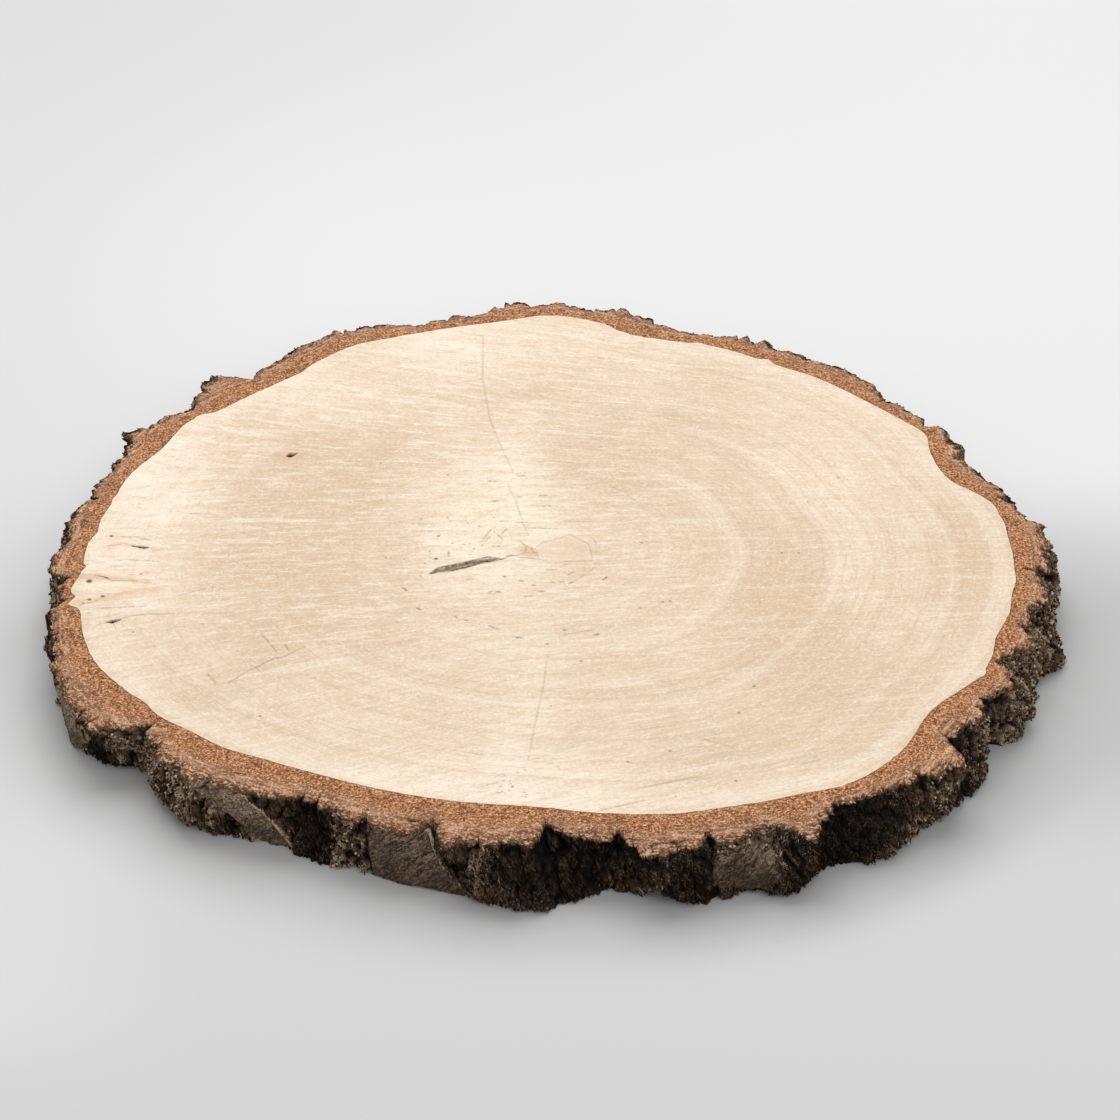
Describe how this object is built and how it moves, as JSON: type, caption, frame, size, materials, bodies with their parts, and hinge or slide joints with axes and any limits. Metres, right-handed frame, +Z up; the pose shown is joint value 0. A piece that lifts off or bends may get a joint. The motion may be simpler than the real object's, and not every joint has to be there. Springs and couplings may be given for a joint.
{
  "type": "wood slice",
  "caption": "A thick round slice sawn across a birch trunk, with flat pale wood faces and rough dark bark round its edge, used as a serving board, cake stand or display base.",
  "frame": {"origin": "centre of the slice's bounding box, on the flat underside it rests on", "axes": "+Z up, square to the two sawn faces, -Y towards the viewer of the picture, +X to the right"},
  "size_m": [0.4282, 0.4314, 0.028],
  "materials": {
    "wood": "sawn and lightly sanded end grain, matte, unfinished",
    "bark": "rough, deeply fissured outer bark, matte"
  },
  "bodies": {
    "root": {"wood_slice": "wood"}
  },
  "joints": []
}
